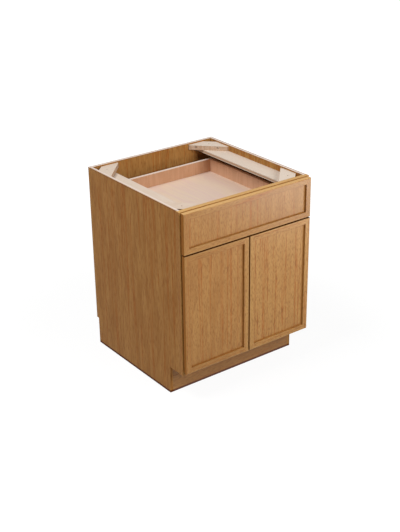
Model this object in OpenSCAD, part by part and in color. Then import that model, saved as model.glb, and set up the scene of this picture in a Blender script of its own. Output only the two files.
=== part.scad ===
// Double door base cabinet with one drawer over two doors.
// X runs along the width, the front faces -Y and Z is up.
// The origin is the centre of the footprint on the floor, fronts included.

/* [Carcass] */
// Width over the face frame
cab_w = 609.6; // [540:0.1:760]
// Height from the floor to the top edge
cab_h = 774.7; // [740:0.1:900]
// Depth from the front of the face frame to the rear of the back panel
case_d = 609.6; // [595:0.1:680]
// Thickness of the plywood panels
ply_t = 12.7; // [12:0.1:16]
// How far the bottom panel enters the grooves of the sides
dado_d = 6; // [3:0.5:8]
// Height of the toe space
toe_h = 114.3; // [90:0.1:130]
// Depth of the toe space behind the front of the face frame
toe_d = 85; // [60:0.5:110]

/* [Face frame] */
// Thickness of the face frame
frame_t = 19; // [16:0.5:25]
// How far the face frame laps past each side panel
frame_lap = 2; // [0.5:0.5:5]
// Width of the two face frame stiles
stile_w = 38.1; // [34:0.1:45]
// Height of the top rail
top_rail_h = 38.1; // [32:0.1:45]
// Height of the middle rail
mid_rail_h = 31.8; // [26:0.1:45]
// How far the middle rail's top edge stands above the gap between drawer and doors
mid_rail_up = 9.7; // [6:0.1:14]
// Height of the bottom rail
bottom_rail_h = 38.1; // [32:0.1:50]
// Length of the tenons on the rails
tenon_l = 12; // [8:0.5:18]
// Thickness of the tenons on the rails
tenon_t = 8; // [5:0.5:10]
// Depth of the groove in each stile that takes the side panel
frame_groove = 3; // [1:0.5:5]

/* [Top supports] */
// Width of the ledges that run front to back under the corner blocks
ledge_w = 74; // [60:1:90]
// Depth of the ledges below the top edge of the cabinet
ledge_drop = 25.5; // [23:0.5:35]
// Thickness of the corner blocks
block_t = 19; // [15:0.5:21]
// Length of a corner block along the side
block_leg = 122; // [100:1:140]
// Length of a corner block along the front or back
block_cross_leg = 115; // [100:1:140]
// Height of the blunt ends of a corner block, square to the walls
block_end = 6; // [3:0.5:12]
// Size of the clipped outer corner of a corner block
block_clip = 40; // [20:1:50]
// Radius of the worktop screw holes in the corner blocks
top_hole_r = 2.5; // [2:0.1:3.5]

/* [Shelf] */
// Height of the shelf's underside above the bottom panel
shelf_up = 216; // [120:1:330]
// Thickness of the shelf
shelf_t = 15; // [12:0.5:19]
// How far the shelf stands back from the face frame
shelf_back = 25; // [10:1:60]
// Radius of the shelf pins
peg_r = 2.5; // [2:0.1:3]
// Spacing of the shelf pin holes
peg_pitch = 32; // [25:1:40]
// Number of shelf pin holes in a column
peg_count = 7; // [5:1:9]

/* [Fronts] */
// Thickness of the doors and of the drawer front
door_t = 18; // [17:0.5:22]
// Gap between the back of a front and the face frame
bumper_gap = 2; // [1.5:0.1:3]
// Gap between neighbouring fronts
front_gap = 4.8; // [3:0.1:7]
// Face frame left bare at each side of the fronts
side_reveal = 5.6; // [3:0.1:12]
// Face frame left bare above the drawer front
top_reveal = 3.2; // [2:0.1:10]
// Face frame left bare below the doors
foot_reveal = 12.7; // [5:0.1:20]
// Height of the drawer front
drawer_front_h = 158; // [140:0.5:190]
// Width of the frame members of the fronts
member_w = 22; // [19:0.5:30]
// Depth of the recessed panel below the face of its frame
panel_recess = 8; // [5:0.5:8]
// Radius of the eased front edges
edge_r = 2; // [0.5:0.1:3]
// Thickness of the tongue round each panel
tongue_t = 5; // [3:0.5:6]
// Length of the tongue round each panel
tongue_l = 7; // [4:0.5:10]

/* [Drawer] */
// Clearance between the drawer box and the back panel
box_rear_gap = 41.6; // [30:0.1:150]
// Height of the drawer box
box_h = 72.6; // [65:0.1:90]
// Thickness of the drawer box sides, front and back
box_t = 12.7; // [11:0.1:16]
// Clearance between the drawer box and each stile
box_clear = 8.3; // [5:0.1:15]
// Clearance under the drawer box, above the middle rail
box_lift = 12.5; // [11:0.1:15]
// Thickness of the drawer bottom
floor_t = 6; // [4:0.5:9]
// Height of the drawer bottom's underside above the lower edge of the sides
floor_up = 12.7; // [11:0.1:16]
// How far the drawer bottom enters its grooves
floor_groove = 6; // [3:0.5:7]
// Number of dovetails at each corner
tail_count = 3; // [2:1:4]
// Share of the corner's height that the tails take at their ends
tail_share = 0.62; // [0.5:0.01:0.7]
// Splay of a tail's flanks in degrees
tail_angle = 9; // [6:0.5:12]

/* [Slides] */
// Width of the drawer slides
slide_w = 38; // [30:1:45]
// Thickness of the slide steel
slide_steel = 1.5; // [1:0.1:2]
// Running clearance between the slide members
slide_play = 0.3; // [0.2:0.05:0.5]
// Width of the neck between the two heads of the intermediate member
neck_w = 16; // [12:0.5:20]

/* [Hinges] */
// Distance of a hinge centre from the end of its door
hinge_in = 90; // [70:1:120]
// Radius of the hinge cups
cup_r = 17.5; // [16:0.1:17.5]
// Depth of the cup bore
cup_depth = 9; // [8.9:0.1:9.2]
// Distance from the edge of the door to the cup
cup_edge = 3; // [2.8:0.1:3.5]
// Distance of the hinge axis from the outer edge of the door
axis_in = 5.6; // [5.4:0.1:5.8]
// Depth of the hinge axis below the back of the door
axis_deep = 6.4; // [6.3:0.1:6.5]
// Radius of the hinge pins
pin_r = 1; // [0.8:0.1:1.1]
// Radius of the rounded back edge of the door along its hinge side
heel_r = 3; // [2:0.1:4]

/* [Hidden] */
$fn = 48;

// Clearance of a glued joint, and the margin by which a cut passes a face
fit = 0.1;
eps = 1;

// Places along the depth: the fronts' face is the lowest Y, the back panel's rear the highest
stack = door_t + bumper_gap;
total_d = case_d + stack;
face_y = -total_d / 2 + stack;
frame_back_y = face_y + frame_t;
rear_y = total_d / 2;
back_in_y = rear_y - ply_t;
toe_y = face_y + toe_d;

// Places across the width
side_out_x = cab_w / 2 - frame_lap;
side_in_x = side_out_x - ply_t;
open_x = cab_w / 2 - stile_w;

// Places up the height
deck_top = toe_h + bottom_rail_h;
deck_low = deck_top - ply_t;
ledge_top = cab_h - ledge_drop;
gap_top = cab_h - top_reveal - drawer_front_h;
gap_z = gap_top - front_gap / 2;
door_z = toe_h + foot_reveal;
door_h = gap_top - front_gap - door_z;
mid_rail_top = gap_z + mid_rail_up;

// Sizes of the fronts
fronts_w = cab_w - 2 * side_reveal;
door_w = (fronts_w - front_gap) / 2;
front_back_y = face_y - bumper_gap;

// Sizes of the drawer box
box_x = open_x - box_clear;
box_in_x = box_x - box_t;
box_y = front_back_y;
box_rear_y = back_in_y - box_rear_gap;
box_l = box_rear_y - box_y;
box_z = mid_rail_top + box_lift;
floor_z = box_z + floor_up;
tail_pitch = box_h / tail_count;
tail_end = tail_share * tail_pitch;
tail_root = tail_end - 2 * box_t * tan(tail_angle);

// Sizes of the slides, which stand on the middle rail and reach the drawer bottom
slide_gap = 5;
notch_web = 3;
slide_x = box_in_x - slide_gap - slide_w / 2;
slide_h = floor_z - mid_rail_top;
channel_split = 0.8;
channel_h = (slide_h - channel_split) / 2;
slide_setback = 1.5;
slide_short = 15;
runner_short = 10;
slide_y = box_y + box_t + slide_setback;
slide_l = box_l - box_t - slide_short;
tab_setback = 3;
tab_y = face_y + tab_setback;
bracket_t = 2;
bracket_w = 30;
bracket_h = 40;
bracket_lap = 40;
bracket_screw_up = 32;

// Wood screws: shank, head and the depth that the point enters
screw_r = 1.75;
screw_head_r = 3.5;
screw_head_t = 2;
screw_bite = 9;

// Corner block screws
block_screw_shares = [0.17, 0.25];
block_screw_up = 12;
block_screw_seat = 6;
block_screw_r = 2;
block_screw_head_r = 3.6;
block_screw_head_t = 3;

// Hinge details, in the door's own frame with its origin on the hinge axis
arm_t = 1.5;
arm_half = 3.5;
arm_play = 0.3;
knuckle_r = 1.6;
pin_play = 0.05;
pin_half = 7;
cup_floor = 0.7;
cup_rim = 1.4;
flange_t = 1;
flange_half = 27;
flange_out = 6;
flange_in = 14.5;
dowel_r = 4;
dowel_l = 7;
dowel_half = 22.5;
dowel_out = 9.5;
axis_x = fronts_w / 2 - axis_in;
axis_y = front_back_y - axis_deep;
arm_reach = axis_x - open_x;
plate_half = 16;
plate_front = 0.6;
plate_rear = 2;
plate_screw_half = 11;
plate_screw_bite = 12;
pocket_play = 0.2;
cup_mid = cup_edge + cup_r - axis_in;

// Small parts
peg_inset = 45;
peg_l = 8;
peg_depth = 9;
peg_head_r = 4;
peg_head_t = 1.5;
shelf_play = 2;
bumper_r = 4;
bumper_play = 0.2;
bumper_t = bumper_gap - bumper_play;
bumper_in = member_w / 2;
clip_w = 14;
clip_l = 32;

oak = [0.62, 0.43, 0.26];
birch = [0.87, 0.80, 0.73];
pink_birch = [0.80, 0.66, 0.56];
zinc = [0.72, 0.73, 0.75];
clear_rubber = [0.9, 0.9, 0.9];
grey_plastic = [0.35, 0.36, 0.38];

// A block from its low corner to its high corner
module span(low, high) {
    translate(low) cube(high - low);
}

// Draws its children for the left (-1) or, mirrored, for the right (1)
module on_side(s) {
    mirror([s > 0 ? 1 : 0, 0, 0]) children();
}

// Draws its children at both ends of a mirror plane across X
module both_sides() {
    for (s = [-1, 1]) on_side(s) children();
}

// A cylinder from a point along -X, -Y or -Z, used for screws and their holes
module rod(at, dir, length, r) {
    turn = dir == "x" ? [0, -90, 0] : dir == "y" ? [90, 0, 0] : [180, 0, 0];
    translate(at) rotate(turn) cylinder(h = length, r = r);
}

// A wood screw that points along -X, -Y or -Z, with its head seat at the given point
module wood_screw(at, dir, length, r = screw_r, head_r = screw_head_r, head_t = screw_head_t) {
    turn = dir == "x" ? [0, -90, 0] : dir == "y" ? [90, 0, 0] : [180, 0, 0];
    translate(at) rotate(turn) {
        translate([0, 0, -head_t]) cylinder(h = head_t, r = head_r);
        cylinder(h = length, r = r);
    }
}

// Carcass

// The outline of a side panel with its toe notch, grown by a clearance for the stile's groove
module side_blank(c = 0) {
    difference() {
        span([-side_out_x - c, frame_back_y - frame_groove - c, 0],
             [-side_in_x + c, back_in_y, cab_h + (c > 0 ? eps : 0)]);
        span([-side_out_x - eps, face_y - eps, -eps], [-side_in_x + eps, toe_y, toe_h - c]);
    }
}

// Centres of the shelf pin holes on the left side, as [y, z]
peg_base = deck_top + shelf_up - peg_r - floor(peg_count / 2) * peg_pitch;
peg_ys = [frame_back_y + shelf_back + peg_inset, back_in_y - peg_inset];
peg_zs = [for (i = [0:peg_count - 1]) peg_base + i * peg_pitch];
peg_used_z = deck_top + shelf_up - peg_r;

module side_panel() {
    color(oak) difference() {
        side_blank();
        bottom_blank(fit);
        for (y = peg_ys, z = peg_zs)
            rod([-side_in_x + eps, y, z], "x", peg_depth + eps, peg_r + pin_play);
        block_screw_holes();
    }
}

// The bottom panel, level with the top of the bottom rail, grown by a clearance for its grooves
module bottom_blank(c = 0) {
    x = side_in_x + dado_d;
    span([-x - c, frame_back_y - c, deck_low - c], [x + c, back_in_y + c, deck_top + c]);
}

module bottom_panel() {
    color(oak) bottom_blank();
}

module back_panel() {
    color(oak) difference() {
        span([-side_out_x, back_in_y, toe_h], [side_out_x, rear_y, cab_h]);
        block_screw_holes();
        bracket_screw_holes();
    }
}

module toe_kick_board() {
    color(oak) span([-side_in_x, toe_y, 0], [side_in_x, toe_y + ply_t, deck_low]);
}

// Face frame

// A tenon that reaches into the left stile, grown by a clearance for its mortise
module tenon(low, high, c = 0) {
    shoulder = 5;
    y = frame_back_y - frame_t / 2;
    span([-open_x - tenon_l - c, y - tenon_t / 2 - c, low + shoulder - c],
         [-open_x + eps, y + tenon_t / 2 + c, high - shoulder + c]);
}

// Lower and upper edge of each rail
top_rail = [cab_h - top_rail_h, cab_h];
mid_rail = [mid_rail_top - mid_rail_h, mid_rail_top];
bottom_rail = [toe_h, toe_h + bottom_rail_h];

module frame_rail(edges) {
    color(oak) difference() {
        union() {
            span([-open_x, face_y, edges[0]], [open_x, frame_back_y, edges[1]]);
            both_sides() tenon(edges[0], edges[1]);
        }
        block_screw_holes();
        tab_screws(pin_play);
    }
}

module frame_stile() {
    color(oak) difference() {
        span([-cab_w / 2, face_y, toe_h], [-open_x, frame_back_y, cab_h]);
        for (edges = [top_rail, mid_rail, bottom_rail]) tenon(edges[0], edges[1], fit);
        side_blank(fit);
        hinge_screw_holes();
    }
}

// Ledges and corner blocks

// Draws its children, modelled in a corner with walls along X and Y, at one inner corner
module at_corner(sx, sy) {
    translate([sx * side_in_x, sy > 0 ? back_in_y : frame_back_y, 0])
        mirror([sx > 0 ? 1 : 0, 0, 0])
            mirror([0, sy > 0 ? 1 : 0, 0]) children();
}

top_hole_at = (block_clip + block_leg) / 4;

module top_holes() {
    for (sx = [-1, 1], sy = [-1, 1]) at_corner(sx, sy)
        rod([top_hole_at, top_hole_at, cab_h + eps], "z", cab_h - toe_h, top_hole_r);
}

module top_ledge() {
    color(birch) difference() {
        span([-side_in_x, frame_back_y, ledge_top - ply_t],
             [-side_in_x + ledge_w, back_in_y, ledge_top]);
        top_holes();
    }
}

// The two screws of a corner block, each square to one wall: 0 into the front or back, 1 into the
// side. Each value is a list for the two.
block_legs = [block_cross_leg, block_leg];
block_screw_from_end = [for (i = [0, 1]) block_legs[i] * block_screw_shares[i]];
block_screw_wood = [for (i = [0, 1]) block_end - block_screw_seat
    + block_screw_from_end[i] * (block_legs[1 - i] - block_end) / (block_legs[i] - block_end)];

// Draws its children at one screw of a corner block. Their origin is the point where the screw
// meets the wall, and they point along -Y.
module at_block_screw(i) {
    mirror([i, -i, 0])
        translate([block_legs[i] - block_screw_from_end[i], 0, ledge_top + block_screw_up]) children();
}

module block_screw_holes() {
    for (sx = [-1, 1], sy = [-1, 1], i = [0, 1]) at_corner(sx, sy) at_block_screw(i)
        rod([0, eps, 0], "y", screw_bite + fit + eps, block_screw_r + pin_play);
}

module corner_block(sx, sy) {
    color(birch) at_corner(sx, sy) difference() {
        translate([0, 0, ledge_top]) linear_extrude(block_t)
            polygon([[block_clip, 0], [block_cross_leg, 0], [block_cross_leg, block_end],
                     [block_end, block_leg], [0, block_leg], [0, block_clip]]);
        rod([top_hole_at, top_hole_at, cab_h], "z", cab_h, top_hole_r);
        for (i = [0, 1]) at_block_screw(i) {
            rod([0, block_screw_wood[i] + eps, 0], "y", block_screw_wood[i] + 2 * eps,
                block_screw_r + pin_play);
            rod([0, block_leg, 0], "y", block_leg - block_screw_wood[i],
                block_screw_head_r + fit);
        }
    }
}

module block_screws() {
    color(zinc) for (sx = [-1, 1], sy = [-1, 1], i = [0, 1]) at_corner(sx, sy) at_block_screw(i)
        wood_screw([0, block_screw_wood[i], 0], "y", block_screw_wood[i] + screw_bite,
                   block_screw_r, block_screw_head_r, block_screw_head_t);
}

// Shelf

module shelf() {
    x = side_in_x - shelf_play;
    z = deck_top + shelf_up;
    color(oak) span([-x, frame_back_y + shelf_back, z], [x, back_in_y - shelf_play, z + shelf_t]);
}

module shelf_pins() {
    color(zinc) both_sides() for (y = peg_ys) translate([-side_in_x, y, peg_used_z]) rotate([0, 90, 0]) {
        translate([0, 0, -peg_l]) cylinder(h = 2 * peg_l, r = peg_r);
        cylinder(h = peg_head_t, r = peg_head_r);
    }
}

// Fronts: each is modelled with its outer lower corner at the origin, X towards the far side,
// Y from the front face to the back, and is then put in its place

// A bar's cross-section with its two front corners eased
module eased(w, t, r, heel = 0) {
    difference() {
        square([w, t]);
        for (m = [0, 1]) translate([m * w, 0]) mirror([m, 0]) corner_cut(r);
        if (heel > 0) translate([0, t]) mirror([0, 1]) corner_cut(heel);
    }
}

// What rounding takes off a square corner at the origin
module corner_cut(r) {
    difference() {
        translate([-eps, -eps]) square(r + eps);
        translate([r, r]) circle(r);
    }
}

// A front's whole slab with eased edges all round its face
module front_slab(w, h, heel = 0) {
    intersection() {
        linear_extrude(h) eased(w, door_t, edge_r, heel);
        translate([w, 0, 0]) rotate([0, -90, 0]) linear_extrude(w) eased(h, door_t, edge_r);
    }
}

// The panel's raised back, which lies flush with the back of the frame, and its tongue
module panel_blank(w, h, c = 0) {
    m = member_w + fit - c;
    span([m, panel_recess - c, m], [w - m, door_t + (c > 0 ? eps : 0), h - m]);
    n = member_w - tongue_l - c;
    span([n, panel_recess - c, n], [w - n, panel_recess + tongue_t + c, h - n]);
}

// Stub tenons of the rails, which fill the stiles' grooves
module rail_tenons(w, h, c = 0) {
    for (z = [0, h - member_w])
        span([member_w - tongue_l - c, panel_recess - c, z - (z == 0 ? c : 0)],
             [w - member_w + tongue_l + c, panel_recess + tongue_t + c, z + member_w]);
}

module front_stile(w, h, far, heel = 0) {
    x = far ? w - member_w : 0;
    difference() {
        intersection() {
            front_slab(w, h, heel);
            span([x, -eps, -eps], [x + member_w, door_t + eps, h + eps]);
        }
        panel_blank(w, h, fit);
        rail_tenons(w, h, fit);
    }
}

module front_rail(w, h, top) {
    low = top ? h - member_w : -eps;
    high = top ? h + eps : member_w;
    difference() {
        intersection() {
            front_slab(w, h);
            union() {
                span([member_w, -eps, low], [w - member_w, door_t + eps, high]);
                rail_tenons(w, h);
            }
            span([0, -eps, low], [w, door_t + eps, high]);
        }
        if (top) translate([0, 0, h - member_w]) panel_gap(w);
        if (!top) translate([0, 0, member_w - tongue_l]) panel_gap(w);
    }
}

// The groove for a panel's tongue along a rail
module panel_gap(w) {
    n = member_w - tongue_l - fit;
    span([n, panel_recess - fit, -fit], [w - n, panel_recess + tongue_t + fit, tongue_l + fit]);
}

module at_drawer_front() {
    translate([-fronts_w / 2, front_back_y - door_t, gap_top]) children();
}

module at_door() {
    translate([-fronts_w / 2, front_back_y - door_t, door_z]) children();
}

hinge_zs = [hinge_in, door_h - hinge_in];

// Bores for the cups and their dowels in the back of a door
module cup_bores() {
    for (z = hinge_zs) translate([cup_edge + cup_r, door_t + eps, z]) {
        rod([0, 0, 0], "y", cup_depth + fit + eps, cup_r + fit);
        for (m = [-1, 1])
            rod([dowel_out, 0, m * dowel_half], "y", dowel_l + fit + eps, dowel_r + fit);
    }
}

module door_stile(far) {
    color(oak) difference() {
        at_door() front_stile(door_w, door_h, far, far ? 0 : heel_r);
        at_door() cup_bores();
    }
}

module door_rail(top) {
    color(oak) at_door() front_rail(door_w, door_h, top);
}

module door_panel() {
    color(oak) at_door() difference() {
        panel_blank(door_w, door_h);
        cup_bores();
    }
}

module door_bumpers() {
    color(clear_rubber) at_door() for (z = [bumper_in, door_h - bumper_in])
        rod([door_w - bumper_in, door_t + bumper_t, z], "y", bumper_t, bumper_r);
}

// Drawer front and its screws
front_screw_in = 68;
front_screw_edge = 13;
front_screw_bite = 6;
front_screw_x = box_in_x - front_screw_in;
front_screw_zs = [floor_z + floor_t + front_screw_edge, box_z + box_h - front_screw_edge];
front_screw_l = box_t + front_screw_bite;

module front_screw_holes() {
    for (x = [-front_screw_x, front_screw_x], z = front_screw_zs)
        rod([x, box_y + box_t + eps, z], "y", front_screw_l + fit + eps, block_screw_r + pin_play);
}

module drawer_front_stile() {
    color(oak) at_drawer_front() front_stile(fronts_w, drawer_front_h, false);
}

module drawer_front_rail(top) {
    color(oak) at_drawer_front() front_rail(fronts_w, drawer_front_h, top);
}

module drawer_front_panel() {
    color(oak) difference() {
        at_drawer_front() panel_blank(fronts_w, drawer_front_h);
        front_screw_holes();
    }
}

module drawer_front_screws() {
    color(zinc) for (x = [-front_screw_x, front_screw_x], z = front_screw_zs)
        wood_screw([x, box_y + box_t, z], "y", front_screw_l, block_screw_r, block_screw_head_r);
}

// Drawer box

// The tails of the left side at one end: 'at' is the shoulder and 'dir' points to the end
module tails(at, dir, c = 0) {
    for (i = [0:tail_count - 1]) {
        z = box_z + (i + 0.5) * tail_pitch;
        root = tail_root / 2 + c;
        tip = tail_end / 2 + c;
        translate([-box_x - c, at, z]) rotate([90, 0, 90]) linear_extrude(box_t + c)
            polygon([[-dir * eps, -root], [0, -root], [dir * box_t, -tip],
                     [dir * box_t, tip], [0, root], [-dir * eps, root]]);
    }
}

module both_tails(c = 0) {
    tails(box_y + box_t, -1, c);
    tails(box_rear_y - box_t, 1, c);
}

// The drawer bottom, grown by a clearance for its grooves
module floor_blank(c = 0) {
    x = box_in_x + floor_groove;
    g = box_t - floor_groove;
    span([-x - c, box_y + g - c, floor_z - c], [x + c, box_rear_y - g + c, floor_z + floor_t + c]);
}

module drawer_side() {
    color(pink_birch) difference() {
        union() {
            span([-box_x, box_y + box_t, box_z], [-box_in_x, box_rear_y - box_t, box_z + box_h]);
            both_tails();
        }
        floor_blank(fit);
    }
}

module box_end(y) {
    difference() {
        span([-box_x, y, box_z], [box_x, y + box_t, box_z + box_h]);
        both_sides() both_tails(fit);
        floor_blank(fit);
    }
}

module drawer_box_front() {
    color(pink_birch) difference() {
        box_end(box_y);
        front_screw_holes();
    }
}

module drawer_box_back() {
    color(pink_birch) difference() {
        box_end(box_rear_y - box_t);
        both_sides()
            span([-box_in_x + notch_web, box_rear_y - box_t - eps, box_z - eps],
                 [-box_in_x + slide_w + 2 * slide_gap - notch_web, box_rear_y + eps, floor_z - fit]);
    }
}

module drawer_bottom() {
    color(birch) floor_blank();
}

// Slides: the fixed rail stands on the middle rail, the drawer rail hangs under the drawer
// bottom, and the runner between them carries a head in each

// A channel of one slide, seen along the slide, standing on its base
module channel_profile() {
    difference() {
        translate([-slide_w / 2, 0]) square([slide_w, channel_h]);
        translate([-slide_w / 2 + slide_steel, slide_steel])
            square([slide_w - 2 * slide_steel, channel_h - 2 * slide_steel]);
        translate([-neck_w / 2 - slide_play, slide_steel]) square([neck_w + 2 * slide_play, channel_h]);
    }
}

// The runner: two hollow heads joined by a hollow neck
module runner_profile() {
    difference() {
        runner_outline(0);
        runner_outline(slide_steel);
    }
}

module runner_outline(inset) {
    head_w = slide_w - 2 * slide_steel - 2 * slide_play - 2 * inset;
    head_h = channel_h - 2 * slide_steel - 2 * slide_play - 2 * inset;
    low = slide_steel + slide_play + inset;
    for (z = [low, slide_h - low - head_h]) translate([-head_w / 2, z]) square([head_w, head_h]);
    translate([-neck_w / 2 + inset, low]) square([neck_w - 2 * inset, slide_h - 2 * low]);
}

// Extrudes a slide's section rearwards from y, at the left slide
module along_slide(y, length) {
    translate([-slide_x, y + length, mid_rail_top]) rotate([90, 0, 0]) linear_extrude(length) children();
}

module slide_rail() {
    color(zinc) difference() {
        union() {
            along_slide(slide_y, slide_l) channel_profile();
            span([-slide_x - slide_w / 2, tab_y, mid_rail_top],
                 [-slide_x + slide_w / 2, slide_y + eps, mid_rail_top + slide_steel]);
        }
        tab_screws(pin_play);
    }
}

module slide_runner() {
    color(zinc) along_slide(slide_y, slide_l - runner_short) runner_profile();
}

module drawer_rail() {
    color(zinc) along_slide(slide_y, slide_l) translate([0, slide_h]) mirror([0, 1]) channel_profile();
}

// The countersunk screws in the tabs, whose heads lie level with the steel, grown by a
// clearance for their holes
module tab_screws(c = 0) {
    y = (tab_y + slide_y) / 2;
    both_sides() for (m = [-1, 1]) translate([-slide_x + m * slide_w / 4, y, mid_rail_top]) {
        translate([0, 0, -screw_bite - c]) cylinder(h = screw_bite + slide_steel + c, r = screw_r + c);
        cylinder(h = slide_steel, r1 = screw_r + c, r2 = screw_head_r + c);
        if (c > 0) translate([0, 0, slide_steel]) cylinder(h = eps, r = screw_head_r + c);
    }
}

// Rear brackets: a leg under the fixed rail and a leg up the back panel

module slide_brackets() {
    rail_end = slide_y + slide_l;
    color(zinc) both_sides() difference() {
        union() {
            span([-slide_x - bracket_w / 2, rail_end - bracket_lap, mid_rail_top - bracket_t],
                 [-slide_x + bracket_w / 2, back_in_y, mid_rail_top]);
            span([-slide_x - bracket_w / 2, back_in_y - bracket_t, mid_rail_top - bracket_t],
                 [-slide_x + bracket_w / 2, back_in_y, mid_rail_top + bracket_h]);
        }
        bracket_screw_holes();
    }
}

// Screws through the brackets point along +Y into the back panel
module bracket_screw_places() {
    both_sides() for (m = [-1, 1]) translate([-slide_x + m * bracket_w / 4, back_in_y - bracket_t,
        mid_rail_top + bracket_screw_up]) mirror([0, 1, 0]) children();
}

module bracket_screw_holes() {
    bracket_screw_places() rod([0, eps, 0], "y", screw_bite + bracket_t + fit + eps, screw_r + pin_play);
}

module slide_screws() {
    color(zinc) {
        tab_screws();
        bracket_screw_places() wood_screw([0, 0, 0], "y", screw_bite + bracket_t);
    }
}

module drawer_clips() {
    x = slide_x - slide_w / 2;
    color(grey_plastic) both_sides()
        span([-x, box_y + box_t, box_z], [-x + clip_w, box_y + box_t + clip_l, floor_z]);
}

// Hinges: drawn at the left door's lower end, with the axis at the origin, X inwards and
// Y towards the back of the cabinet

// Draws its children at each hinge of the left door
module at_hinges() {
    for (z = hinge_zs) translate([-axis_x, axis_y, door_z + z]) children();
}

// The arm: a knuckle on the pin, a bar inside the cup, and a neck that ends in a mounting plate
module hinge_arm() {
    y0 = -knuckle_r;
    plate_y = axis_deep + bumper_gap + plate_front;
    plate_end = axis_deep + bumper_gap + frame_t - plate_rear;
    difference() {
        union() {
            translate([0, 0, -arm_half]) linear_extrude(2 * arm_half) {
                circle(knuckle_r);
                translate([0, y0]) square([arm_reach + arm_t, arm_t]);
                translate([arm_reach, y0]) square([arm_t, plate_y + eps - y0]);
            }
            span([arm_reach, plate_y, -plate_half], [arm_reach + arm_t, plate_end, plate_half]);
        }
        translate([0, 0, -pin_half]) cylinder(h = 2 * pin_half, r = pin_r + pin_play);
        plate_screw_places() rod([eps, 0, 0], "x", arm_t + 2 * eps, screw_r + pin_play);
    }
}

// The two screws of a mounting plate: the child's origin is on the plate and it points along -X
module plate_screw_places() {
    y = axis_deep + bumper_gap + frame_t / 2;
    for (z = [-plate_screw_half, plate_screw_half]) translate([arm_reach + arm_t, y, z]) children();
}

module hinge_arms() {
    color(zinc) at_hinges() hinge_arm();
}

// The cup: a disc in its bore, with a flange, two dowels and a pocket for the arm
module hinge_cup() {
    difference() {
        union() {
            rod([cup_mid, axis_deep, 0], "y", cup_depth, cup_r);
            span([cup_mid - flange_out, axis_deep, -flange_half],
                 [cup_mid + flange_in, axis_deep + flange_t, flange_half]);
            for (m = [-1, 1])
                rod([cup_mid + dowel_out, axis_deep + fit, m * dowel_half], "y", dowel_l + fit, dowel_r);
        }
        span([-knuckle_r - pocket_play, axis_deep - cup_depth + cup_floor, -arm_half - arm_play],
             [cup_mid + cup_r - cup_rim, axis_deep + flange_t + eps, arm_half + arm_play]);
        translate([0, 0, -pin_half]) cylinder(h = 2 * pin_half, r = pin_r + pin_play);
    }
}

module hinge_cups() {
    color(zinc) at_hinges() hinge_cup();
}

module hinge_pins() {
    color(zinc) at_hinges() translate([0, 0, -pin_half]) cylinder(h = 2 * pin_half, r = pin_r);
}

module hinge_screws() {
    color(zinc) both_sides() at_hinges() plate_screw_places()
        wood_screw([0, 0, 0], "x", arm_t + plate_screw_bite);
}

module hinge_screw_holes() {
    at_hinges() plate_screw_places()
        rod([0, 0, 0], "x", arm_t + plate_screw_bite + fit, screw_r + pin_play);
}

on_side(-1) side_panel();  // side_panel_left
on_side(1) side_panel();  // side_panel_right
back_panel();
bottom_panel();
toe_kick_board();
on_side(-1) frame_stile();  // frame_stile_left
on_side(1) frame_stile();  // frame_stile_right
frame_rail(top_rail);  // frame_top_rail
frame_rail(mid_rail);  // frame_middle_rail
frame_rail(bottom_rail);  // frame_bottom_rail
on_side(-1) top_ledge();  // top_ledge_left
on_side(1) top_ledge();  // top_ledge_right
corner_block(-1, -1);  // corner_block_front_left
corner_block(1, -1);  // corner_block_front_right
corner_block(-1, 1);  // corner_block_back_left
corner_block(1, 1);  // corner_block_back_right
block_screws();
shelf();
shelf_pins();
on_side(-1) drawer_side();  // drawer_side_left
on_side(1) drawer_side();  // drawer_side_right
drawer_box_front();
drawer_box_back();
drawer_bottom();
on_side(-1) drawer_front_stile();  // drawer_front_stile_left
on_side(1) drawer_front_stile();  // drawer_front_stile_right
drawer_front_rail(true);  // drawer_front_top_rail
drawer_front_rail(false);  // drawer_front_bottom_rail
drawer_front_panel();
drawer_front_screws();
on_side(-1) slide_rail();  // slide_rail_left
on_side(1) slide_rail();  // slide_rail_right
slide_brackets();
slide_screws();
on_side(-1) slide_runner();  // slide_runner_left
on_side(1) slide_runner();  // slide_runner_right
on_side(-1) drawer_rail();  // drawer_rail_left
on_side(1) drawer_rail();  // drawer_rail_right
drawer_clips();
on_side(-1) door_stile(false);  // door_left_hinge_stile
on_side(-1) door_stile(true);  // door_left_free_stile
on_side(-1) door_rail(true);  // door_left_top_rail
on_side(-1) door_rail(false);  // door_left_bottom_rail
on_side(-1) door_panel();  // door_left_panel
on_side(-1) door_bumpers();  // door_left_bumpers
on_side(1) door_stile(false);  // door_right_hinge_stile
on_side(1) door_stile(true);  // door_right_free_stile
on_side(1) door_rail(true);  // door_right_top_rail
on_side(1) door_rail(false);  // door_right_bottom_rail
on_side(1) door_panel();  // door_right_panel
on_side(1) door_bumpers();  // door_right_bumpers
on_side(-1) hinge_arms();  // hinge_arms_left
on_side(1) hinge_arms();  // hinge_arms_right
on_side(-1) hinge_cups();  // hinge_cups_left
on_side(1) hinge_cups();  // hinge_cups_right
on_side(-1) hinge_pins();  // hinge_pins_left
on_side(1) hinge_pins();  // hinge_pins_right
hinge_screws();
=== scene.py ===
"""Finishes a double door base cabinet with a drawer, and sets up a plain studio for it."""

import math

import bmesh
import bpy
from bpy.props import FloatProperty, FloatVectorProperty, PointerProperty
from mathutils import Matrix, Vector


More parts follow.
